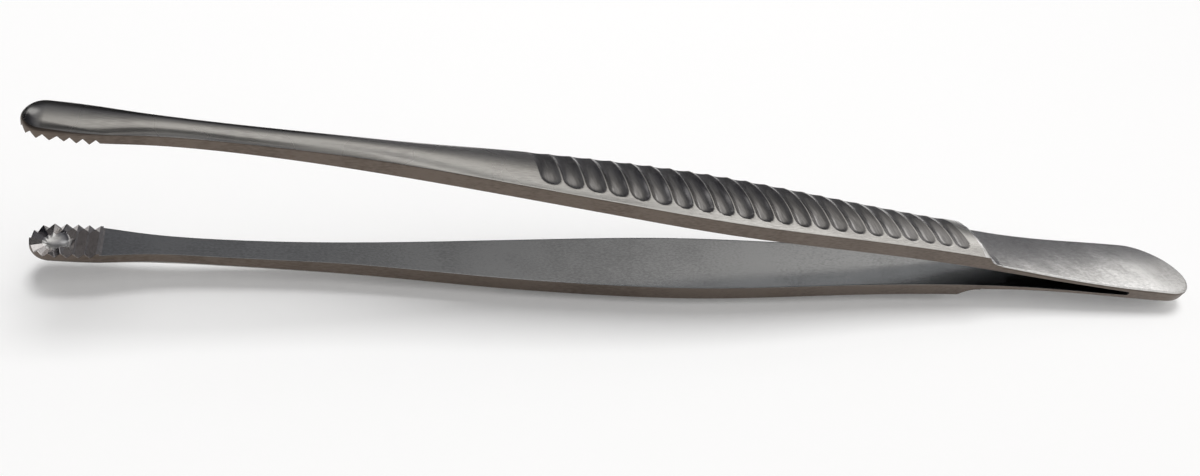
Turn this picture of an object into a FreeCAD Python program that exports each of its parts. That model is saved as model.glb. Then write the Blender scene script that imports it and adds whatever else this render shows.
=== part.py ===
import FreeCAD, Part
import math
import os
import Sketcher

os.makedirs("parts", exist_ok=True)
doc = FreeCAD.newDocument("thumb_forceps")
V = FreeCAD.Vector

# Working frame of one arm, in mm: X runs from the jaw's nose to the heel's end, Y is across and
# Z = 0 is the plane midway between the arms. The outer face looks to +Z. Both arms are the same
# piece, one turned half a turn about X, except that the teeth of one stand in the gaps of the
# other. Before they are written out, the arms are laid down the way the forceps rest on a table.

# Half width, height of the plain side face, rise of the crowned outer face above it, and distance
# of the inner face from the middle plane. First at the two ends of the toothed jaw face, where
# the face is that of the tooth tips in front and the plain inner face behind.
JAW = (
    ("jaw", 3.2, 1.69, 1.3, 10.6),
    ("jaw_rear", 3.0, 1.49, 1.4, 10.58),
)

# The same sizes further back, after each place's share of the overall length.
ARM = (
    ("throat", 0.075, 2.42, 1.53, 1.45, 10.46),
    ("neck", 0.14, 1.96, 1.68, 1.22, 10.24),
    ("shank", 0.24, 2.43, 2.20, 1.20, 9.34),
    ("grip_front", 0.34, 3.94, 2.35, 0.90, 8.46),
    ("grip_swell", 0.43, 5.18, 2.41, 1.22, 7.37),
    ("grip_wide", 0.525, 5.83, 2.47, 1.48, 5.94),
    ("grip_narrow", 0.64, 5.06, 2.47, 1.10, 4.09),
    ("shoulder", 0.755, 4.52, 2.42, 0.96, 2.24),
    ("spring", 0.84, 5.03, 2.42, 0.96, 1.05),
    ("heel_front", 0.92, 5.87, 2.42, 0.96, 0.38),
)

# Behind the shoulder: share of the overall length, height of the outer face's crest.
BLADE = (
    ("blade_root", 0.785, 2.96),
    ("blade_thin", 0.84, 2.01),
    ("blade_wide", 0.90, 1.47),
    ("heel_rear", 0.964, 1.30),
    ("blade_end", 1.005, 1.10),
)

SIZES = {
    # the broad heel where the arms are joined
    "overall_length": 200.0,
    "heel_half_width": 6.1,
    "blade_crown_radius": 70.0,
    # the step down from the grip to the thin springy part
    "shoulder_radius": 4.6,
    # finger grip: round-bottomed flutes across the crowned face. The first one's place is a share
    # of the overall length, and the floor falls from each flute to the next
    "flute_count": 22,
    "flute_first_share": 0.3695,
    "flute_pitch": 3.55,
    "flute_radius": 2.0,
    "flute_floor": 10.95,
    "flute_fall": 0.21,
    "flute_fall_growth": 0.00285,
    # toothed cup jaws, their tips on a plane that leans towards the middle plane
    "jaw_length": 10.4,
    "jaw_slope": 0.0456,
    "tooth_pitch": 1.65,
    "tooth_turn": 30.0,
    "groove_first": 5.8,
    "groove_count": 3,
    "cup_centre": 4.0,
    "cup_half_length": 2.15,
    "cup_half_width": 1.75,
    "cup_depth": 1.15,
    # small flat on the grip's crest that the forceps lie on, and the slope it gives them
    "rest_flat_depth": 0.03,
    "rest_slope": 0.0745,
    # extra room that cutting shapes take beyond the metal
    "over": 3.0,
}
FIELDS = ("share", "half_width", "side", "crown", "gap")
STATIONS = [row[0] for row in JAW + ARM]

# Places along the arm that follow from the sizes.
PLACES = {"jaw_x": "<jaw_half_width>", "jaw_rear_x": "<jaw_length>"}
for name, *_ in ARM + BLADE:
    PLACES[f"{name}_x"] = f"<{name}_share> * <overall_length>"


def make_sheet():
    """Every driving size goes into one sheet, each under its own name."""
    sheet = doc.addObject("Spreadsheet::Sheet", "Sizes")
    rows = dict(SIZES)
    for name, *numbers in JAW:
        rows.update({f"{name}_{field}": n for field, n in zip(FIELDS[1:], numbers)})
    for name, *numbers in ARM:
        rows.update({f"{name}_{field}": n for field, n in zip(FIELDS, numbers)})
    for name, share, top in BLADE:
        rows.update({f"{name}_share": share, f"{name}_top": top})
    for row, (alias, value) in enumerate(rows.items(), 1):
        sheet.set(f"A{row}", alias)
        sheet.set(f"B{row}", str(value))
        sheet.setAlias(f"B{row}", alias)
    doc.recompute()
    return rows


VALUES = make_sheet()


def filled(text, names):
    """The expression with its places worked out and each <name> replaced."""
    for place, meaning in PLACES.items():
        text = text.replace(f"<{place}>", f"({meaning})")
    for alias, put in names.items():
        text = text.replace(f"<{alias}>", put)
    return text


def at(text):
    """An expression in the sheet's names, with the names led to the sheet."""
    return filled(text, {alias: f"Sizes.{alias}" for alias in VALUES})


def number(text):
    """The value of the same expression, for a first drawing that the sheet then drives."""
    plain = filled(text, {alias: f"{value}" for alias, value in VALUES.items()})
    return float(FreeCAD.Units.Quantity(plain).Value)


def bind(thing, where, text):
    thing.setExpression(where, at(text))


def new_sketch(body, name, plane, along="0"):
    """A sketch on one of the body's own planes, moved along that plane's normal."""
    sketch = body.newObject("Sketcher::SketchObject", name)
    face = next(f for f in body.Origin.OriginFeatures if f.Role == plane)
    sketch.AttachmentSupport = [(face, "")]
    sketch.MapMode = "FlatFace"
    bind(sketch, "AttachmentOffset.Base.z", along)
    return sketch


def fix(sketch, kind, *refs):
    """Adds a distance or radius whose size is the last item, read from the sheet."""
    *places, text = refs
    index = sketch.addConstraint(Sketcher.Constraint(kind, *places, number(text)))
    bind(sketch, f"Constraints[{index}]", text)


def polygon(sketch, points):
    """A closed outline of straight lines, each corner placed by the sheet."""
    corners = [V(number(x), number(z), 0) for x, z in points]
    count = len(corners)
    for i, corner in enumerate(corners):
        sketch.addGeometry(Part.LineSegment(corner, corners[(i + 1) % count]))
    for i, (x, z) in enumerate(points):
        sketch.addConstraint(Sketcher.Constraint("Coincident", i, 2, (i + 1) % count, 1))
        fix(sketch, "DistanceX", -1, 1, i, 1, x)
        fix(sketch, "DistanceY", -1, 1, i, 1, z)


def arm_section(body, name, half_width, foot, edge, crown, side=-1):
    """Cross-section of the arm: flat inside, plain sides, crowned outside. side=0 draws one half."""
    sketch = new_sketch(body, f"{name}_section", "YZ_Plane", f"<{name}_x>")
    w, low, high, rise = (number(t) for t in (half_width, foot, edge, crown))
    radius = (w * w + rise * rise) / (2 * rise)
    left = side * w
    centre = V(0, high + rise - radius, 0)
    start = math.atan2(high - centre.y, w)
    stop = math.pi - start if side else math.pi / 2
    sketch.addGeometry(Part.LineSegment(V(left, low, 0), V(w, low, 0)))
    sketch.addGeometry(Part.LineSegment(V(w, low, 0), V(w, high, 0)))
    sketch.addGeometry(Part.ArcOfCircle(Part.Circle(centre, V(0, 0, 1), radius), start, stop))
    top = high if side else high + rise
    sketch.addGeometry(Part.LineSegment(V(left, top, 0), V(left, low, 0)))
    for i in range(4):
        sketch.addConstraint(Sketcher.Constraint("Coincident", i, 2, (i + 1) % 4, 1))
    sketch.addConstraint(Sketcher.Constraint("Vertical", 1))
    sketch.addConstraint(Sketcher.Constraint("Vertical", 3))
    sketch.addConstraint(Sketcher.Constraint("PointOnObject", 2, 3, -2))
    if side:
        sketch.addConstraint(Sketcher.Constraint("Symmetric", 0, 1, 0, 2, -2))
    else:
        sketch.addConstraint(Sketcher.Constraint("Horizontal", 0))
        sketch.addConstraint(Sketcher.Constraint("PointOnObject", 0, 1, -2))
    fix(sketch, "DistanceX", -1, 1, 1, 1, half_width)
    fix(sketch, "DistanceY", -1, 1, 1, 2, edge)
    fix(sketch, "DistanceY", 1, 1, 1, 2, f"({edge}) - ({foot})")
    fix(sketch, "Radius", 2, f"(({half_width})^2 + ({crown})^2) / (2 * ({crown}))")
    return sketch


def outer_loft(body):
    """The arm's sides and crowned outer face, from the jaw's widest place to past the heel's end."""
    sections = []
    for name in STATIONS:
        sections.append(
            arm_section(
                body,
                name,
                f"<{name}_half_width>",
                f"<{name}_gap> - <over> / 3",
                f"<{name}_gap> + <{name}_side>",
                f"<{name}_crown>",
            )
        )
    for name in ("heel_rear", "blade_end"):
        width, foot = "<heel_half_width>", "0 - <over> / 3"
        sections.append(
            arm_section(body, name, width, foot, "<shoulder_side>", "<shoulder_crown>")
        )
    loft = body.newObject("PartDesign::AdditiveLoft", "arm_outside")
    loft.Profile = sections[0]
    loft.Sections = sections[1:]
    doc.recompute()


def jaw_nose(body):
    """The round nose: half of the jaw's section turned half a turn about its upright axis."""
    half = arm_section(
        body,
        "jaw",
        "<jaw_half_width>",
        "<jaw_gap> - <over> / 3",
        "<jaw_gap> + <jaw_side>",
        "<jaw_crown>",
        side=0,
    )
    nose = body.newObject("PartDesign::Revolution", "jaw_nose")
    nose.Profile = half
    nose.ReferenceAxis = (half, ["V_Axis"])
    nose.Angle = 180
    doc.recompute()
    if body.Shape.BoundBox.XMin > number("<jaw_half_width>") / 2:
        nose.Reversed = True
        doc.recompute()


def gap_loft(body):
    """Cuts the flat inner face, from behind the teeth to where the two arms meet."""
    sections = []
    for name in STATIONS[1:]:
        sketch = new_sketch(body, f"{name}_inside", "YZ_Plane", f"<{name}_x>")
        reach = "<heel_half_width> + <over>"
        foot = "<over> + <over> / 3"
        low, high, far = -number(foot), number(f"<{name}_gap>"), number(reach)
        ring = [V(-far, low, 0), V(far, low, 0), V(far, high, 0), V(-far, high, 0)]
        for i in range(4):
            sketch.addGeometry(Part.LineSegment(ring[i], ring[(i + 1) % 4]))
        for i in range(4):
            sketch.addConstraint(Sketcher.Constraint("Coincident", i, 2, (i + 1) % 4, 1))
        sketch.addConstraint(Sketcher.Constraint("Vertical", 1))
        sketch.addConstraint(Sketcher.Constraint("Vertical", 3))
        sketch.addConstraint(Sketcher.Constraint("Symmetric", 0, 1, 0, 2, -2))
        sketch.addConstraint(Sketcher.Constraint("Horizontal", 2))
        fix(sketch, "DistanceX", -1, 1, 1, 1, reach)
        fix(sketch, "DistanceY", -1, 1, 1, 2, f"<{name}_gap>")
        fix(sketch, "DistanceY", 1, 1, 1, 2, f"<{name}_gap> + {foot}")
        sections.append(sketch)
    loft = body.newObject("PartDesign::SubtractiveLoft", "arm_inside")
    loft.Profile = sections[0]
    loft.Sections = sections[1:]
    doc.recompute()


def side_cut(body, name, points):
    """A cut straight across the arm, drawn in its side view."""
    sketch = new_sketch(body, f"{name}_outline", "XZ_Plane")
    polygon(sketch, points)
    cut = body.newObject("PartDesign::Pocket", name)
    cut.Profile = sketch
    cut.Type = "ThroughAll"
    cut.Midplane = True
    doc.recompute()


def round_cut(body, name, x, z, radius):
    """A round cut straight across the arm."""
    sketch = new_sketch(body, f"{name}_outline", "XZ_Plane")
    circle = Part.Circle(V(number(x), number(z), 0), V(0, 0, 1), number(radius))
    sketch.addGeometry(circle)
    fix(sketch, "DistanceX", -1, 1, 0, 3, x)
    fix(sketch, "DistanceY", -1, 1, 0, 3, z)
    fix(sketch, "Radius", 0, radius)
    cut = body.newObject("PartDesign::Pocket", name)
    cut.Profile = sketch
    cut.Type = "ThroughAll"
    cut.Midplane = True
    doc.recompute()


def blade_loft(body):
    """Thins the arm behind the shoulder to a slightly crowned springy blade and heel."""
    sections = []
    reach = "<heel_half_width> + <over>"
    for name, *_ in BLADE:
        sketch = new_sketch(body, f"{name}_waste", "YZ_Plane", f"<{name}_x>")
        far, top, radius = number(reach), number(f"<{name}_top>"), number("<blade_crown_radius>")
        fall = radius - math.sqrt(radius * radius - far * far)
        high = number("<shoulder_gap> + <shoulder_side> + <over>")
        centre = V(0, top - radius, 0)
        start = math.asin((radius - fall) / radius)
        sketch.addGeometry(
            Part.ArcOfCircle(Part.Circle(centre, V(0, 0, 1), radius), start, math.pi - start)
        )
        sketch.addGeometry(Part.LineSegment(V(-far, top - fall, 0), V(-far, high, 0)))
        sketch.addGeometry(Part.LineSegment(V(-far, high, 0), V(far, high, 0)))
        sketch.addGeometry(Part.LineSegment(V(far, high, 0), V(far, top - fall, 0)))
        for i in range(4):
            sketch.addConstraint(Sketcher.Constraint("Coincident", i, 2, (i + 1) % 4, 1))
        sketch.addConstraint(Sketcher.Constraint("Vertical", 1))
        sketch.addConstraint(Sketcher.Constraint("Vertical", 3))
        sketch.addConstraint(Sketcher.Constraint("Symmetric", 2, 1, 2, 2, -2))
        sketch.addConstraint(Sketcher.Constraint("PointOnObject", 0, 3, -2))
        fix(sketch, "DistanceX", -1, 1, 3, 1, reach)
        fix(sketch, "DistanceY", -1, 1, 3, 1, "<shoulder_gap> + <shoulder_side> + <over>")
        fix(sketch, "Radius", 0, "<blade_crown_radius>")
        fix(sketch, "DistanceY", 0, 3, -1, 1, f"<blade_crown_radius> - <{name}_top>")
        sections.append(sketch)
    loft = body.newObject("PartDesign::SubtractiveLoft", "blade_outside")
    loft.Profile = sections[0]
    loft.Sections = sections[1:]
    doc.recompute()


def rest_flat(body):
    """A shallow flat on the crest of the grip, on which the forceps lie without rolling."""
    crest = "<grip_wide_gap> + <grip_wide_side> + <grip_wide_crown>"
    ends = ("<grip_swell_x>", "<grip_narrow_x>")
    line = [
        (x, f"{crest} - <rest_flat_depth> - <rest_slope> * ({x} - <grip_wide_x>)") for x in ends
    ]
    side_cut(body, "rest_flat", line + [(x, f"{crest} + <over>") for x in reversed(ends)])


def make_blank():
    """One plain arm: nose, neck, grip, springy blade and heel, without flutes and teeth."""
    body = doc.addObject("PartDesign::Body", "arm_blank")
    outer_loft(body)
    jaw_nose(body)
    gap_loft(body)
    low, nose, rear = "0 - <over>", "0 - <over>", "<jaw_length> + <over>"
    tips = [(x, f"<jaw_gap> - <jaw_slope> * (({x}) - <jaw_x>)") for x in (rear, nose)]
    side_cut(body, "jaw_face", [(nose, low), (rear, low)] + tips)
    front, end = "<heel_front_x>", "<overall_length> + <over>"
    side_cut(body, "weld_face", ((front, low), (end, low), (end, "0"), (front, "0")))
    round_cut(body, "gap_end", front, "0", "<heel_front_gap>")
    rest_flat(body)
    blade_loft(body)
    round_cut(
        body,
        "shoulder_cut",
        "<blade_root_x>",
        "<blade_root_top> + <shoulder_radius>",
        "<shoulder_radius>",
    )
    return body


def make_flutes():
    """A row of cylinders across the grip. Their floor follows the grip's own slight bow."""
    tools = []
    for i in range(int(VALUES["flute_count"])):
        tool = doc.addObject("Part::Cylinder", f"flute_{i + 1}")
        bind(tool, "Radius", "<flute_radius>")
        bind(tool, "Height", "2 * (<grip_wide_half_width> + <over>)")
        tool.Placement = FreeCAD.Placement(V(), FreeCAD.Rotation(V(1, 0, 0), 90))
        place = f"<flute_first_share> * <overall_length> + {i} * <flute_pitch>"
        bind(tool, "Placement.Base.x", place)
        bind(tool, "Placement.Base.y", "<grip_wide_half_width> + <over>")
        fall = f"<flute_fall> * {i} + <flute_fall_growth> * {i}^2"
        bind(tool, "Placement.Base.z", f"<flute_floor> + <flute_radius> - ({fall})")
        tools.append(tool)
    return tools


def make_heel_waste():
    """What is left outside the heel's half-oval end."""
    oval = doc.addObject("Part::Ellipse", "heel_oval")
    bind(oval, "MajorRadius", "<overall_length> - <heel_rear_x>")
    bind(oval, "MinorRadius", "<heel_half_width>")
    bind(oval, "Placement.Base.x", "<heel_rear_x>")
    bind(oval, "Placement.Base.z", "0 - <over>")
    kept = doc.addObject("Part::Extrusion", "heel_kept")
    kept.Base = oval
    kept.DirMode = "Custom"
    kept.Dir = V(0, 0, 1)
    kept.Solid = True
    bind(kept, "LengthFwd", "4 * <over>")
    block = doc.addObject("Part::Box", "heel_block")
    bind(block, "Length", "<overall_length> - <heel_rear_x> + <over>")
    bind(block, "Width", "2 * (<heel_half_width> + <over>)")
    bind(block, "Height", "3 * <over>")
    bind(block, "Placement.Base.x", "<heel_rear_x>")
    bind(block, "Placement.Base.y", "0 - <heel_half_width> - <over>")
    bind(block, "Placement.Base.z", "0 - <over> / 2")
    waste = doc.addObject("Part::Cut", "heel_waste")
    waste.Base = block
    waste.Tool = kept
    return waste


def tooth_bar(name, turn, length):
    """A square bar on its edge: it cuts a right-angled groove. turn is its heading about Z."""
    tool = doc.addObject("Part::Box", name)
    side = "<tooth_pitch>"
    bind(tool, "Length", length)
    bind(tool, "Width", side)
    bind(tool, "Height", side)
    lie = FreeCAD.Rotation(V(0, 0, 1), turn)
    edge = FreeCAD.Rotation(V(1, 0, 0), -45)
    tool.Placement = FreeCAD.Placement(V(), lie.multiply(edge))
    return tool


def make_teeth(label, shift):
    """Grooves round the nose and across the jaw, and the oval cup. shift is 0 or half a tooth."""
    tools = []
    first = 0 if shift else 0.5
    steps = [k + first for k in range(-4, 5) if abs(k + first) <= 4]
    depth_of_bar = "<tooth_pitch> * sqrt(2)"
    root = "<jaw_gap> + <tooth_pitch> / 2"
    for i, step in enumerate(steps, 1):
        heading = 180 + step * VALUES["tooth_turn"]
        tool = tooth_bar(f"{label}_notch_{i}", heading, "2 * <jaw_half_width>")
        bind(tool, "Placement.Base.z", f"{root} - {depth_of_bar} / 2")
        top = tool.Placement.Rotation.multVec(V(0, 1, 1))
        bind(tool, "Placement.Base.x", f"<jaw_x> - <tooth_pitch> / 2 * {top.x:.9f}")
        bind(tool, "Placement.Base.y", f"0 - <tooth_pitch> / 2 * {top.y:.9f}")
        tools.append(tool)
    for i in range(int(VALUES["groove_count"])):
        tool = tooth_bar(f"{label}_groove_{i + 1}", 90, "2 * (<jaw_half_width> + <over>)")
        top = tool.Placement.Rotation.multVec(V(0, 1, 1))
        place = f"<groove_first> + ({i} + {shift}) * <tooth_pitch>"
        bind(tool, "Placement.Base.x", f"{place} - <tooth_pitch> / 2 * {top.x:.9f}")
        bind(tool, "Placement.Base.y", "0 - <jaw_half_width> - <over>")
        bind(tool, "Placement.Base.z", f"{root} - {depth_of_bar} / 2")
        tools.append(tool)
    cup = doc.addObject("Part::Ellipsoid", f"{label}_cup")
    cup.Angle1, cup.Angle2, cup.Angle3 = -90, 90, 360
    bind(cup, "Radius1", "<cup_depth>")
    bind(cup, "Radius2", "<cup_half_length>")
    bind(cup, "Radius3", "<cup_half_width>")
    bind(cup, "Placement.Base.x", f"<cup_centre> + {shift} * <tooth_pitch> / 2")
    bind(cup, "Placement.Base.z", "<jaw_gap>")
    teeth = doc.addObject("Part::MultiFuse", f"{label}_teeth")
    teeth.Shapes = tools + [cup]
    pivot = V(number("<jaw_x>"), 0, number("<jaw_gap>"))
    lean = FreeCAD.Rotation(V(0, 1, 0), math.degrees(math.atan(VALUES["jaw_slope"])))
    teeth.Placement = FreeCAD.Placement(V(), lean, pivot)
    return [teeth]


def make_arm(label, blank, tools):
    joined = doc.addObject("Part::MultiFuse", f"{label}_cutters")
    joined.Shapes = tools
    arm = doc.addObject("Part::Cut", label)
    arm.Base = blank
    arm.Tool = joined
    arm.Label = label
    return arm


def lay_down(upper, lower):
    """Turns the lower arm over, leans both, and rests them on Z = 0 centred on the origin."""
    lean = FreeCAD.Rotation(V(0, 1, 0), math.degrees(math.atan(VALUES["rest_slope"])))
    turned = FreeCAD.Rotation(V(1, 0, 0), 180)
    upper.Placement = FreeCAD.Placement(V(), lean)
    lower.Placement = FreeCAD.Placement(V(), lean.multiply(turned))
    boxes = [arm.Shape.optimalBoundingBox(False, False) for arm in (upper, lower)]
    middle_x = (min(b.XMin for b in boxes) + max(b.XMax for b in boxes)) / 2
    middle_y = (min(b.YMin for b in boxes) + max(b.YMax for b in boxes)) / 2
    shift = V(-middle_x, -middle_y, -min(b.ZMin for b in boxes))
    upper.Placement = FreeCAD.Placement(shift, lean)
    lower.Placement = FreeCAD.Placement(shift, lean.multiply(turned))


def check_all():
    for thing in doc.Objects:
        if "Invalid" in thing.State or "Error" in thing.State:
            raise RuntimeError(f"{thing.Name} did not build: {thing.State}")
        shape = getattr(thing, "Shape", None)
        if shape is not None and (shape.isNull() or not shape.isValid()):
            raise RuntimeError(f"{thing.Name} has no sound shape")


blank = make_blank()
common_tools = make_flutes() + [make_heel_waste()]
arms = {
    "upper_arm": make_arm("upper_arm", blank, make_teeth("upper", 0.5) + common_tools),
    "lower_arm": make_arm("lower_arm", blank, make_teeth("lower", 0) + common_tools),
}
doc.recompute()
lay_down(arms["upper_arm"], arms["lower_arm"])
check_all()
for label, arm in arms.items():
    arm.Shape.exportStep(f"parts/{label}.step")
    print(label, round(arm.Shape.Volume, 1), "mm3", arm.Placement.Base)
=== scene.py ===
import math

import bmesh
import bpy
import numpy as np
from mathutils import Matrix, Vector


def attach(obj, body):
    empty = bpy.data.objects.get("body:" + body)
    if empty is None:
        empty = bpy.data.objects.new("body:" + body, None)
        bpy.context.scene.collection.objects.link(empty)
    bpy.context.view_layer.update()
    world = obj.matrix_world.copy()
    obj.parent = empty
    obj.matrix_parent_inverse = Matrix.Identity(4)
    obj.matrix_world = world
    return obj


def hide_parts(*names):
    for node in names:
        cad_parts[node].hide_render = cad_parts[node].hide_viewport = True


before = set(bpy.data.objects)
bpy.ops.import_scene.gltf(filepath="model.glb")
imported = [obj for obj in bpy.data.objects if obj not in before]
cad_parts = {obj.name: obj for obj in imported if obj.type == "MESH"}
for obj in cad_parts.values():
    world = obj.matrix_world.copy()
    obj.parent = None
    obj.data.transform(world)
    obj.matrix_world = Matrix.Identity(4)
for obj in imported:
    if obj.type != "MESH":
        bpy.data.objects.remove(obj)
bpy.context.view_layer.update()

# Thumb forceps with cup-and-tooth jaws: two stainless steel arms, each forged in one piece and
# joined face to face at the heel. Sizes are in mm in the arm's own frame: x from the nose to the
# heel, y across, z up from the plane midway between the arms. MM turns them into metres.
MM = 0.001

# Forged blank of one arm.
# A slim stainless steel bar, flat inside with plain ground sides and a crowned outer face, widest
# at the finger grip. It is trimmed, ground along its edges, brushed outside and blasted inside.
PLACES = (3.2, 10.4, 15.0, 28.0, 48.0, 68.0, 86.0, 105.0, 128.0, 151.0, 168.0, 184.0, 192.8, 201.0)
HALF_WIDTHS = (3.2, 3.0, 2.42, 1.96, 2.43, 3.94, 5.18, 5.83, 5.06, 4.52, 5.03, 5.87, 6.1, 6.1)
SIDES = (1.69, 1.49, 1.53, 1.68, 2.2, 2.35, 2.41, 2.47, 2.47, 2.42, 2.42, 2.42, 2.42, 2.42)
CROWNS = (1.3, 1.4, 1.45, 1.22, 1.2, 0.9, 1.22, 1.48, 1.1, 0.96, 0.96, 0.96, 0.96, 0.96)
GAPS = (10.6, 10.58, 10.46, 10.24, 9.34, 8.46, 7.37, 5.94, 4.09, 2.24, 1.05, 0.38, 0.0, 0.0)


def curve_through(places, heights):
    """A smooth curve through the points, with no bend at its two ends."""
    x, y = np.array(places), np.array(heights)
    step = np.diff(x)
    slope = np.diff(y) / step
    rows = np.eye(len(x))
    for i in range(1, len(x) - 1):
        rows[i, i - 1 : i + 2] = step[i - 1], 2 * (step[i - 1] + step[i]), step[i]
    bend = np.linalg.solve(rows, np.concatenate(([0.0], 6 * np.diff(slope), [0.0])))

    def height(at):
        at = np.clip(at, x[0], x[-1])
        i = np.clip(np.searchsorted(x, at, side="right") - 1, 0, len(x) - 2)
        left, right, h = at - x[i], x[i + 1] - at, step[i]
        cubic = (bend[i] * right**3 + bend[i + 1] * left**3) / (6 * h)
        from_left = (y[i] / h - bend[i] * h / 6) * right
        return cubic + from_left + (y[i + 1] / h - bend[i + 1] * h / 6) * left

    return height


half_width = curve_through(PLACES, HALF_WIDTHS)
side = curve_through(PLACES, SIDES)
crown = curve_through(PLACES, CROWNS)
gap = curve_through(PLACES, GAPS)
NOSE_CENTRE = 3.2


def crowned(x, y):
    """Outer face of the blank. On the round nose it is turned about the nose's centre."""
    width, rise = half_width(x), crown(x)
    radius = (width**2 + rise**2) / (2 * rise)
    off = np.hypot(np.minimum(x - NOSE_CENTRE, 0), y)
    fall = radius - np.sqrt(np.maximum(radius**2 - off**2, 0))
    return gap(x) + side(x) + rise - fall


def linear(hex_colour):
    """The linear colour of an sRGB hex value."""
    parts = [int(hex_colour[i : i + 2], 16) / 255 for i in (1, 3, 5)]
    return [p / 12.92 if p <= 0.04045 else ((p + 0.055) / 1.055) ** 2.4 for p in parts] + [1.0]


def add_node(tree, kind, settings=(), links=()):
    """Adds a node, sets its properties and sockets by name, and feeds its sockets from others."""
    node = tree.nodes.new(kind)
    for key, value in dict(settings).items():
        if isinstance(key, int) or key in node.inputs:
            node.inputs[key].default_value = value
        else:
            setattr(node, key, value)
    for key, source in dict(links).items():
        tree.links.new(source, node.inputs[key])
    return node


CLOUD_SIZE, CLOUD_SHARE, GLOSS_SPREAD = 11.0, 0.8, 0.05
TINT_ENDS = (0.62, 1.0)


def steel(name, light, dark, rough, grain, relief, wave=0.0):
    """Stainless steel whose colour, gloss and surface follow a grain and wide soft clouds. grain
    is its size in mm along the arm, across it and up, relief how far it stands out in mm, and
    wave the height in mm of the slow waves that hand polishing leaves. The real grain is too
    fine to show, so it is drawn as coarse as it needs to."""
    material = bpy.data.materials.new(name)
    material.use_nodes = True
    tree = material.node_tree
    shader = tree.nodes["Principled BSDF"]
    place = add_node(tree, "ShaderNodeTexCoord").outputs["Object"]
    size = [1 / (g * MM) for g in grain]
    fitted = add_node(tree, "ShaderNodeMapping", {"Scale": size}, {"Vector": place})
    fine = add_node(
        tree, "ShaderNodeTexNoise", {"Scale": 1, "Detail": 3}, {"Vector": fitted.outputs["Vector"]}
    ).outputs["Fac"]
    cloud = add_node(
        tree, "ShaderNodeTexNoise", {"Scale": 1 / (CLOUD_SIZE * MM), "Detail": 2}, {"Vector": place}
    ).outputs["Fac"]
    both = add_node(
        tree,
        "ShaderNodeMath",
        {"operation": "MULTIPLY_ADD", 1: CLOUD_SHARE},
        {0: cloud, 2: fine},
    )
    tint = add_node(tree, "ShaderNodeValToRGB", {}, {"Fac": both.outputs[0]})
    for stop, at, colour in zip(tint.color_ramp.elements, TINT_ENDS, (dark, light)):
        stop.position = at
        stop.color = linear(colour)
    gloss = add_node(
        tree,
        "ShaderNodeMapRange",
        {"To Min": rough - GLOSS_SPREAD, "To Max": rough + GLOSS_SPREAD},
        {"Value": cloud},
    )
    surface = add_node(
        tree, "ShaderNodeBump", {"Strength": 1.0, "Distance": relief * MM}, {"Height": fine}
    )
    if wave:
        surface = add_node(
            tree,
            "ShaderNodeBump",
            {"Strength": 1.0, "Distance": wave * MM},
            {"Height": cloud, "Normal": surface.outputs["Normal"]},
        )
    shader.inputs["Metallic"].default_value = 1.0
    tree.links.new(tint.outputs["Color"], shader.inputs["Base Color"])
    tree.links.new(gloss.outputs["Result"], shader.inputs["Roughness"])
    tree.links.new(surface.outputs["Normal"], shader.inputs["Normal"])
    return material


# Brushed lengthwise: soft streaks along the crown, and a mirror blurred across them.
BRUSHED = steel("brushed_crown_steel", "#C0BEBA", "#ACA9A6", 0.27, (5.0, 0.16, 0.16), 0.0012)
# Ground on a wheel after forging: duller and browner than the faces, with a short coarse grain.
GROUND = steel("ground_side_steel", "#6F655D", "#5C534C", 0.42, (0.9, 0.3, 0.22), 0.004)
# Blasted, then handled smooth: an even grey with a fine dark speckle.
BLASTED = steel("blasted_inner_steel", "#AEAFB0", "#969798", 0.18, (0.5, 0.22, 0.22), 0.0022)

# Finger grip.
# Twenty-two round-bottomed flutes milled across the crowned face, with a thin bright land between
# them. Each keeps its width, ends bluntly before the edge of the arm that is near to the camera,
# and grows shallow towards the other edge, where it runs out.
FLUTES, FLUTE_FIRST, FLUTE_PITCH, FLUTE_HALF_WIDTH = 22, 73.9, 3.55, 1.7
FLUTE_FLOOR, FLUTE_FALL, FLUTE_FALL_GROWTH = 10.95, 0.21, 0.00285
FLUTE_STOP, FLUTE_END_ROUND, FLUTE_RUN_OUT, FLUTE_EDGE = 1.0, 1.7, 0.22, 0.10
REST_CREST, REST_PLACE, REST_SLOPE = 9.86, 105.0, 0.0745


def flute_reach(x, y):
    """The flute nearest to a point, and how far out the point is in it: 1 at the flute's rim.
    The flutes stop short of the edge at negative y."""
    i = np.clip(np.round((x - FLUTE_FIRST) / FLUTE_PITCH), 0, FLUTES - 1)
    across = (x - FLUTE_FIRST - FLUTE_PITCH * i) / FLUTE_HALF_WIDTH
    past = np.maximum(-y - half_width(x) + FLUTE_STOP + FLUTE_END_ROUND, 0)
    return i, across**2 + (past / FLUTE_END_ROUND) ** 3


def soft_min(a, b, blend):
    """The lower of two heights, with the edge between them rounded over about the blend."""
    share = np.clip(0.5 + 0.5 * (b - a) / blend, 0, 1)
    return b + (a - b) * share - blend * share * (1 - share)


def fluted(x, y):
    """Outer face of the grip, with the small flat that the forceps rest on."""
    face = np.minimum(crowned(x, y), REST_CREST - REST_SLOPE * (x - REST_PLACE))
    i, reach = flute_reach(x, y)
    floor = FLUTE_FLOOR - FLUTE_FALL * i - FLUTE_FALL_GROWTH * i**2
    depth = crowned(FLUTE_FIRST + FLUTE_PITCH * i, 0.0) - floor
    depth = depth * (1 - (1 - FLUTE_RUN_OUT) * (np.maximum(y, 0) / half_width(x)) ** 2)
    return soft_min(face, crowned(x, y) - depth * (1 - reach), FLUTE_EDGE)


# Milled across and left unbrushed: glossier than the lands. Its darker colour is painted shade in
# the hollow of each flute.
FLUTE_PAINTED_SHADE = steel("flute_steel_painted_shade", "#969493", "#7B7978", 0.22, (0.3, 2.5, 0.3), 0.0015)

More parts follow.
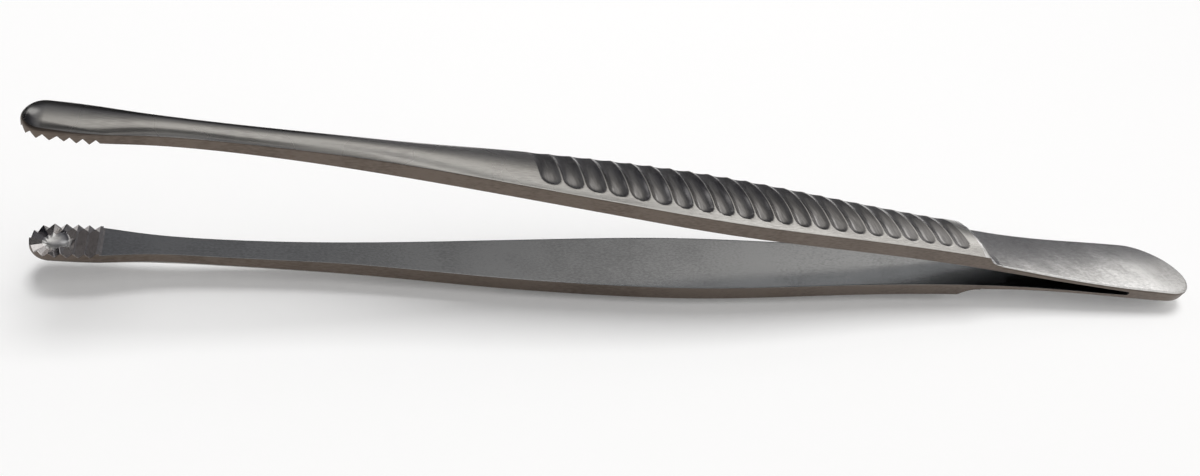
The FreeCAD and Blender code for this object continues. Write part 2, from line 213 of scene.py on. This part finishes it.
# Spring and heel.
# Behind a milled step the bar is ground down to a thin springy blade, which widens to the
# half-oval heel where the two arms are welded together and polished over.
BLADE_PLACES = (157.0, 168.0, 180.0, 192.8, 201.0)
BLADE_TOPS = (2.96, 2.01, 1.47, 1.30, 1.10)
BLADE_RADIUS, STEP_RADIUS, STEP_EDGE = 70.0, 4.6, 0.16
HEEL_CENTRE, HEEL_LENGTH, HEEL_WIDTH = 192.8, 7.2, 6.1
OUT_OF_THE_WAY = 99.0
blade_top = curve_through(BLADE_PLACES, BLADE_TOPS)


def outer_face(x, y):
    """The whole outer face: crown, flutes, milled step and blade."""
    reach = np.maximum(STEP_RADIUS**2 - (x - BLADE_PLACES[0]) ** 2, 0)
    hollow = BLADE_TOPS[0] + STEP_RADIUS - np.sqrt(reach)
    face = soft_min(fluted(x, y), np.where(reach > 0, hollow, OUT_OF_THE_WAY), STEP_EDGE)
    blade = blade_top(x) - BLADE_RADIUS + np.sqrt(BLADE_RADIUS**2 - y**2)
    return np.where(x > BLADE_PLACES[0], np.minimum(face, blade), face)


# Mopped by hand: soft wide patches of light where the mop has left slow waves. Its colour, brighter
# than the crown's, is painted light on the blade.
BLADE_PAINTED_LIGHT = steel("mopped_blade_painted_light", "#D2D1D0", "#B9B8B7", 0.20, (0.8, 0.4, 0.4), 0.0008, 0.16)

# Jaws.
# Each jaw ends in a round pad with an oval cup, ringed by right-angled teeth that point to the
# middle of the nose and followed by teeth straight across. The teeth of one jaw fall between those
# of the other. They are cut into the forging and left bright.
JAW_LENGTH, JAW_SLOPE = 10.4, 0.0456
TOOTH_HEIGHT, TOOTH_TURN, TEETH_EACH_WAY = 0.825, 30.0, 4
FIRST_GROOVE, GROOVES = 5.8, 3
CUP_CENTRE, CUP_LENGTH, CUP_WIDTH, CUP_DEPTH = 4.0, 2.15, 1.75, 1.15
GAP_END, GAP_END_RADIUS = 184.0, 0.38
JAW_OVERRUN, NO_CUT = 1.0, -9.0


def cup_reach(x, y, shift):
    """How far out a point is in the cup: 1 at its rim."""
    middle = CUP_CENTRE + shift * TOOTH_HEIGHT
    return ((x - middle) / CUP_LENGTH) ** 2 + (y / CUP_WIDTH) ** 2


def inner_face(x, y, shift):
    """The face that looks to the other arm. shift moves the teeth by 0 or half a tooth."""
    tips = GAPS[0] - JAW_SLOPE * (x - NOSE_CENTRE)
    cut = np.full(np.shape(x), NO_CUT)
    for k in range(GROOVES):
        place = FIRST_GROOVE + 2 * TOOTH_HEIGHT * (k + shift)
        cut = np.maximum(cut, TOOTH_HEIGHT - np.abs(x - place))
    steps = np.arange(-TEETH_EACH_WAY, TEETH_EACH_WAY + 1) + (0.0 if shift else 0.5)
    for turn in np.radians(TOOTH_TURN * steps[np.abs(steps) <= TEETH_EACH_WAY]):
        along = -(x - NOSE_CENTRE) * math.cos(turn) + y * math.sin(turn)
        across = (x - NOSE_CENTRE) * math.sin(turn) + y * math.cos(turn)
        cut = np.maximum(cut, np.where(along > 0, TOOTH_HEIGHT - np.abs(across), NO_CUT))
    inside = 1 - cup_reach(x, y, shift)
    cup = np.where(inside > 0, CUP_DEPTH * np.sqrt(np.maximum(inside, 0)), NO_CUT)
    cut = np.where(x < JAW_LENGTH + JAW_OVERRUN, np.maximum(cut, cup), NO_CUT)
    gap_end = np.sqrt(np.maximum(GAP_END_RADIUS**2 - (x - GAP_END) ** 2, 0))
    plain = np.where(x < GAP_END, gap(x), gap_end)
    return np.maximum(np.where(x < JAW_LENGTH, tips, plain), tips + cut)


# Cut with a form tool and left bright: flat facets that each catch or lose the light.
CUT = steel("bright_cut_teeth", "#C6C2C1", "#ABA7A6", 0.18, (0.5, 0.5, 0.5), 0.0008)
# Polished out after the teeth were cut, with one broad highlight from the lamps in its hollow. Its
# colour, far brighter than the teeth's, is a painted highlight.
CUP_PAINTED_HIGHLIGHT = steel("jaw_cup_painted_highlight", "#F0EFEE", "#D8D7D6", 0.34, (0.4, 0.4, 0.4), 0.0008)

# Skin of one arm.
# Cross-sections from the nose to the heel, each a closed ring from the crest of the outer face
# round a rounded edge, the ground side and the inner edge to the middle of the inner face and back.
OUT, EDGE, INNER_EDGE, IN = 24, 5, 2, 24
WALL_ROWS = (0.0, 0.06, 0.2, 0.4, 0.6, 0.8, 0.94, 1.0)
NOSE_FAN, HEEL_FAN, HEEL_FAN_SHARE = 30, 32, 0.8
ROWS_PER_FLANK, ROWS_PER_FLUTE, SEAM, FINE_ROW = 8, 18, 0.01, 0.1
NECK_ROWS, STEP_ROWS, BLADE_ROWS, GAP_END_ROWS, HEEL_ROWS = 60, 60, 40, 9, 14
STEP_ROWS_END = 162.0
EDGE_ROUND, SIDE_ROUND, INNER_ROUND, GAP_END_ROUND = 0.2, 0.6, 0.10, 0.04
NOSE_ROUND, NOSE_ROUND_FROM, NOSE_ROUND_TO = 0.8, 3.0, 11.0
HEEL_ROUND, HEEL_ROUND_FROM, HEEL_ROUND_TO = 0.25, 153.0, 163.0
SHARP_DEGREES, WELD_DISTANCE = 38, 1e-7


def section_lines():
    """Start on the centre line and end on the outline for every section, nose and heel fanned.
    The rows lie close in the teeth, in the flutes and where the gap ends, and a small step is
    left between one run of rows and the next."""
    lines = []
    for turn in np.radians(np.linspace(0, 90, NOSE_FAN + 1))[:-1]:
        edge = NOSE_CENTRE * np.array((1 - math.cos(turn), math.sin(turn)))
        lines.append((NOSE_CENTRE, edge[0], edge[1]))
    flank_row = TOOTH_HEIGHT / ROWS_PER_FLANK
    rows_before = math.floor((FIRST_GROOVE - NOSE_CENTRE) / flank_row)
    rows_after = math.ceil((JAW_LENGTH - FIRST_GROOVE) / flank_row)
    jaw = FIRST_GROOVE + flank_row * np.arange(-rows_before, rows_after)
    row = np.arange(-ROWS_PER_FLUTE // 2, ROWS_PER_FLUTE // 2)
    one = FLUTE_PITCH / 2 * np.sin(math.pi * row / ROWS_PER_FLUTE)
    flutes = (FLUTE_FIRST + FLUTE_PITCH * np.arange(FLUTES)[:, None] + one).ravel()
    turns = np.radians(np.linspace(0, 90, GAP_END_ROWS))
    straight = [
        [NOSE_CENTRE],
        jaw,
        [JAW_LENGTH - SEAM, JAW_LENGTH + SEAM],
        np.arange(JAW_LENGTH + FINE_ROW, JAW_LENGTH + JAW_OVERRUN, FINE_ROW),
        np.linspace(JAW_LENGTH + JAW_OVERRUN + 0.2, flutes[0] - 0.3, NECK_ROWS),
        flutes,
        np.linspace(flutes[-1] + 0.2, STEP_ROWS_END, STEP_ROWS),
        np.linspace(STEP_ROWS_END + 0.5, GAP_END - 0.3, BLADE_ROWS),
        GAP_END + GAP_END_RADIUS * np.sin(turns),
        np.linspace(GAP_END + 0.6, HEEL_CENTRE, HEEL_ROWS),
    ]
    for x in np.concatenate(straight):
        lines.append((x, x, float(half_width(x))))
    for turn in np.radians(np.linspace(0, 90, HEEL_FAN + 1))[1:]:
        far = HEEL_LENGTH * math.sin(turn)
        start = HEEL_CENTRE + HEEL_FAN_SHARE * far
        lines.append((start, HEEL_CENTRE + far, HEEL_WIDTH * math.cos(turn)))
    return lines


def rounded(a, corner, b, count):
    """Points on the round between two edges that meet at the corner, without its two ends."""
    t = np.linspace(0, 1, count + 2)[1:-1, None]
    return (1 - t) ** 2 * a + 2 * t * (1 - t) * corner + t**2 * b


def ramp(x, start, end):
    """0 before the start, 1 past the end and even in between."""
    return np.clip((x - start) / (end - start), 0, 1)


def half_ring(line, shift, hand, near):
    """One section from the crest over the edge and down the side to the middle of the inner face.
    hand is the sign of y on this half, near the sign of y at the edge where the flutes stop."""
    start, edge_x, edge_y = line[0], line[1], hand * line[2]
    length = math.hypot(edge_x - start, edge_y)
    nose_round = NOSE_ROUND * (1 - ramp(edge_x, NOSE_ROUND_FROM, NOSE_ROUND_TO))
    heel_round = HEEL_ROUND * ramp(edge_x, HEEL_ROUND_FROM, HEEL_ROUND_TO)
    outer_round = EDGE_ROUND + nose_round + heel_round
    inner_round = INNER_ROUND if edge_x < GAP_END else GAP_END_ROUND

    def points(part, height):
        x = start + (edge_x - start) * part
        y = edge_y * part
        return np.stack((x, y, height(x, y)), 1)

    def outer(x, y):
        return outer_face(x, -near * y)

    def inner(x, y):
        return inner_face(x, y, shift)

    top = points((1 - outer_round / length) * np.linspace(0, 1, OUT), outer)
    rim = points(np.array([1.0]), outer)[0]
    foot = points(np.array([1.0]), inner)[0]
    under = points((1 - inner_round / length) * np.linspace(1, 0, IN), inner)
    up = np.array((0, 0, 1.0))
    high, low = rim - up * min(outer_round, SIDE_ROUND), foot + up * inner_round
    wall = high + (low - high) * np.array(WALL_ROWS)[:, None]
    edge = rounded(top[-1], rim, high, EDGE)
    inner_edge = rounded(low, foot, under[0], INNER_EDGE)
    return np.concatenate((top, edge, wall, inner_edge, under))


# Of these finishes, the flute floors carry painted shade, the jaw cup a painted highlight and the
# blade painted light.
FINISHES = (BRUSHED, GROUND, BLASTED, CUT, FLUTE_PAINTED_SHADE, BLADE_PAINTED_LIGHT, CUP_PAINTED_HIGHLIGHT)
CUP_RIM, FLUTE_RIM, CUT_PAST_JAW = 0.95, 0.94, 0.3


def face_slots(x, y, at, shift, near):
    """The finish of each face, from its place and from its place in the ring of its section."""
    wall = at >= OUT + EDGE // 2
    inner = at >= OUT + EDGE + len(WALL_ROWS) + INNER_EDGE // 2
    on_grip = x > FLUTE_FIRST - FLUTE_PITCH / 2
    in_flute = on_grip & (flute_reach(x, -near * y)[1] < FLUTE_RIM)
    finishes = (
        (inner & (cup_reach(x, y, shift) < CUP_RIM), CUP_PAINTED_HIGHLIGHT),
        (inner & (x < JAW_LENGTH + CUT_PAST_JAW), CUT),
        (inner, BLASTED),
        (wall, GROUND),
        (x > BLADE_PLACES[0] - STEP_RADIUS, BLADE_PAINTED_LIGHT),
        (in_flute, FLUTE_PAINTED_SHADE),
    )
    slots = [FINISHES.index(finish) for _, finish in finishes]
    return np.select([where for where, _ in finishes], slots, FINISHES.index(BRUSHED))


def skin(name, shift, to_table, near):
    """The closed mesh of one arm, with a finish on every face."""
    rings = []
    for line in section_lines():
        one_side = half_ring(line, shift, -1, near)
        other_side = half_ring(line, shift, 1, near)
        rings.append(np.concatenate((one_side, other_side[-2:0:-1])))
    grid = np.array(rings)
    count, around = grid.shape[:2]
    spots = [to_table @ Vector(p) for p in (grid.reshape(-1, 3) * MM)]
    i, j = np.meshgrid(np.arange(count - 1), np.arange(around), indexing="ij")
    k = (j + 1) % around
    this, following = i * around, (i + 1) * around
    corners = np.stack((this + j, this + k, following + k, following + j), -1)
    middles = (grid[i, j] + grid[i, k] + grid[i + 1, k] + grid[i + 1, j]) / 4
    place_in_ring = np.minimum(j, around - 1 - j)
    slots = face_slots(middles[..., 0], middles[..., 1], place_in_ring, shift, near)
    mesh = bpy.data.meshes.new(name)
    mesh.from_pydata(spots, [], corners.reshape(-1, 4).tolist())
    mesh.polygons.foreach_set("material_index", slots.ravel())
    form = bmesh.new()
    form.from_mesh(mesh)
    bmesh.ops.remove_doubles(form, verts=form.verts, dist=WELD_DISTANCE)
    bmesh.ops.recalc_face_normals(form, faces=form.faces)
    for face in form.faces:
        face.smooth = True
    form.to_mesh(mesh)
    form.free()
    mesh.set_sharp_from_angle(angle=math.radians(SHARP_DEGREES))
    arm = bpy.data.objects.new(name, mesh)
    bpy.context.scene.collection.objects.link(arm)
    return arm


# How the forceps lie on the table: both arms lean with the middle plane, and the lower one is the
# upper one turned half a turn about its length. The flutes of both stop at the edge that is near
# to the camera, so on the lower arm they are mirrored.
LEAN = math.atan(REST_SLOPE)
NOSE_PLACE = Vector((-99.30946, 0, 17.63363))
LYING = Matrix.Translation(NOSE_PLACE * MM) @ Matrix.Rotation(LEAN, 4, "Y")
TURNED = LYING @ Matrix.Rotation(math.pi, 4, "X")

arms = {
    "upper_arm": skin("upper_arm_skin", 0.5, LYING, -1),
    "lower_arm": skin("lower_arm_skin", 0, TURNED, 1),
}
for node, arm in arms.items():
    for finish in FINISHES:
        arm.data.materials.append(finish)
    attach(arm, "root")
    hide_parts(node)

# Table.
# A plain white card that the forceps lie on. Where it is seen straight, or in the steel, it is
# lifted a little to white. The shadow stays on it.
TABLE_WIDTH, TABLE_LIFT, TABLE_ROUGHNESS = 6.0, 0.09, 0.9
bpy.ops.mesh.primitive_plane_add(size=TABLE_WIDTH, location=(0, 0, 0))
table = bpy.context.object
table.name = "white_table"
card = bpy.data.materials.new("white_card")
card.use_nodes = True
paper = card.node_tree
matt = paper.nodes["Principled BSDF"]
matt.inputs["Base Color"].default_value = linear("#F3F3F3")
matt.inputs["Roughness"].default_value = TABLE_ROUGHNESS
ray = add_node(paper, "ShaderNodeLightPath")
seen = ray.outputs["Is Camera Ray"]
for kind in ("Is Glossy Ray", "Is Transmission Ray"):
    seen = add_node(
        paper, "ShaderNodeMath", {"operation": "MAXIMUM"}, {0: seen, 1: ray.outputs[kind]}
    ).outputs[0]
lift = add_node(paper, "ShaderNodeMath", {"operation": "MULTIPLY", 1: TABLE_LIFT}, {0: seen})
glow = add_node(paper, "ShaderNodeEmission", {}, {"Strength": lift.outputs[0]})
lifted = add_node(paper, "ShaderNodeAddShader", {}, {0: matt.outputs[0], 1: glow.outputs[0]})
paper.links.new(lifted.outputs[0], paper.nodes["Material Output"].inputs["Surface"])
table.data.materials.append(card)

# Light.
# A studio with one broad soft light, high on the right, that fades to a dim room on the left and
# low down. Softboxes stand in it, and cards hold light off the steel, as a photographer sets them
# round bright metal.
LIGHT_FROM = Vector((0.63, -0.14, 0.77)).normalized()
DARK_SIDE, ROOM_STRENGTH = -0.3, 0.95
ROOM = (
    (0.0, "#1A1A1F"),
    (0.2, "#2E2E35"),
    (0.38, "#58585E"),
    (0.6, "#858587"),
    (0.72, "#9C9B9A"),
    (0.765, "#BEBCBA"),
    (0.81, "#E4E2DF"),
    (1.0, "#FBFAF8"),
)
world = bpy.data.worlds.new("studio_room")
bpy.context.scene.world = world
world.use_nodes = True
room = world.node_tree
facing = add_node(
    room,
    "ShaderNodeVectorMath",
    {"operation": "DOT_PRODUCT", 1: LIGHT_FROM},
    {0: add_node(room, "ShaderNodeTexCoord").outputs["Generated"]},
)
towards_light = add_node(
    room,
    "ShaderNodeMapRange",
    {"From Min": DARK_SIDE, "From Max": 1.0},
    {"Value": facing.outputs["Value"]},
)
walls = add_node(room, "ShaderNodeValToRGB", {}, {"Fac": towards_light.outputs["Result"]})
for at, colour in ROOM[1:-1]:
    walls.color_ramp.elements.new(at)
for stop, (at, colour) in zip(walls.color_ramp.elements, ROOM):
    stop.position = at
    stop.color = linear(colour)
room.links.new(walls.outputs["Color"], room.nodes["Background"].inputs["Color"])
room.nodes["Background"].inputs["Strength"].default_value = ROOM_STRENGTH


def softbox(name, place, size, power):
    """A soft lamp that is aimed at the middle of the forceps. Lengths in m, power in W."""
    lamp = bpy.data.lights.new(name, "AREA")
    lamp.shape = "RECTANGLE"
    lamp.size, lamp.size_y = size
    lamp.energy = power
    holder = bpy.data.objects.new(name, lamp)
    holder.location = place
    holder.rotation_euler = (-Vector(place)).to_track_quat("-Z", "Y").to_euler()
    bpy.context.scene.collection.objects.link(holder)
    return holder


softbox("main_softbox", LIGHT_FROM * 1.2, (0.8, 0.8), 0.85)
softbox("left_strip", (-0.62, 0.55, 0.55), (0.3, 0.7), 0.45)
softbox("right_lamp", (0.74, 0.34, 0.40), (0.2, 0.2), 0.12)
# This one lights the table from behind, so that the shadow falls a little towards the camera. It
# is kept off the steel, where it would draw a second highlight.
softbox("table_softbox", (0.0, 0.3, 1.07), (0.42, 0.42), 6.9).visible_glossy = False


def card_for_steel(name, colour, place, aim, size):
    """A card in matt felt that shows in the steel only. It is hidden from the picture and casts
    no shadow."""
    bpy.ops.mesh.primitive_plane_add(size=1.0, location=place)
    flag = bpy.context.object
    flag.name = name
    flag.scale = (*size, 1)
    flag.rotation_euler = (Vector(aim) - Vector(place)).to_track_quat("Z", "Y").to_euler()
    flag.visible_camera = flag.visible_diffuse = flag.visible_shadow = False
    felt = bpy.data.materials.new(name + "_felt")
    felt.use_nodes = True
    felt_shader = felt.node_tree.nodes["Principled BSDF"]
    felt_shader.inputs["Base Color"].default_value = linear(colour)
    felt_shader.inputs["Roughness"].default_value = 0.9
    flag.data.materials.append(felt)


# Two stand behind the forceps and draw the dark line along their far edge. The third hangs above
# the camera and darkens the near shoulder of the jaws, and the fourth hangs over the grip and
# dims its near shoulder.
card_for_steel("far_flag_left", "#1C1C20", (-0.17, 0.08, 0.031), (-0.17, 0, 0.031), (0.26, 0.062))
card_for_steel("far_flag_right", "#88888C", (0.10, 0.08, 0.031), (0.10, 0, 0.031), (0.28, 0.062))
card_for_steel("camera_flag", "#26262A", (-0.09, -0.29, 0.41), (-0.09, 0, 0.03), (0.30, 0.25))
card_for_steel("ceiling_flag", "#C8C8C8", (0.20, -0.03, 0.41), (0.20, -0.03, 0.0), (0.28, 0.18))

# Camera.
# Wide lens close to the jaws, looking down on them. The photograph is cut so that the middle of
# the lens's own picture is left of the frame's, and the lens is shifted only as far as that needs.
AZIMUTH, ELEVATION, ROLL = 0.2398, 0.6918, -0.2396
EYE = Vector((21.2338, -93.7324, 84.2344))
PICTURE_WIDTH, PICTURE_HEIGHT = 1200, 476
FOCAL_LENGTH, LENS_MIDDLE_X, LENS_MIDDLE_Y = 858.58, 340.40, 185.98
ahead = Vector(
    (
        math.sin(AZIMUTH) * math.cos(ELEVATION),
        math.cos(AZIMUTH) * math.cos(ELEVATION),
        -math.sin(ELEVATION),
    )
)
level = Vector((math.cos(AZIMUTH), -math.sin(AZIMUTH), 0))
down = ahead.cross(level)
right = level * math.cos(ROLL) + down * math.sin(ROLL)
below = down * math.cos(ROLL) - level * math.sin(ROLL)
turn = Matrix((right, -below, -ahead)).transposed().to_4x4()
lens = bpy.data.cameras.new("camera")
lens.sensor_width = 36.0
lens.lens = FOCAL_LENGTH / PICTURE_WIDTH * lens.sensor_width
lens.shift_x = (PICTURE_WIDTH / 2 - LENS_MIDDLE_X) / PICTURE_WIDTH
lens.shift_y = (LENS_MIDDLE_Y - PICTURE_HEIGHT / 2) / PICTURE_WIDTH
lens.clip_start = 0.005
camera = bpy.data.objects.new("camera", lens)
camera.matrix_world = LYING @ Matrix.Translation(EYE * MM) @ turn
bpy.context.scene.collection.objects.link(camera)
bpy.context.scene.camera = camera
bpy.context.scene.view_settings.view_transform = "Standard"
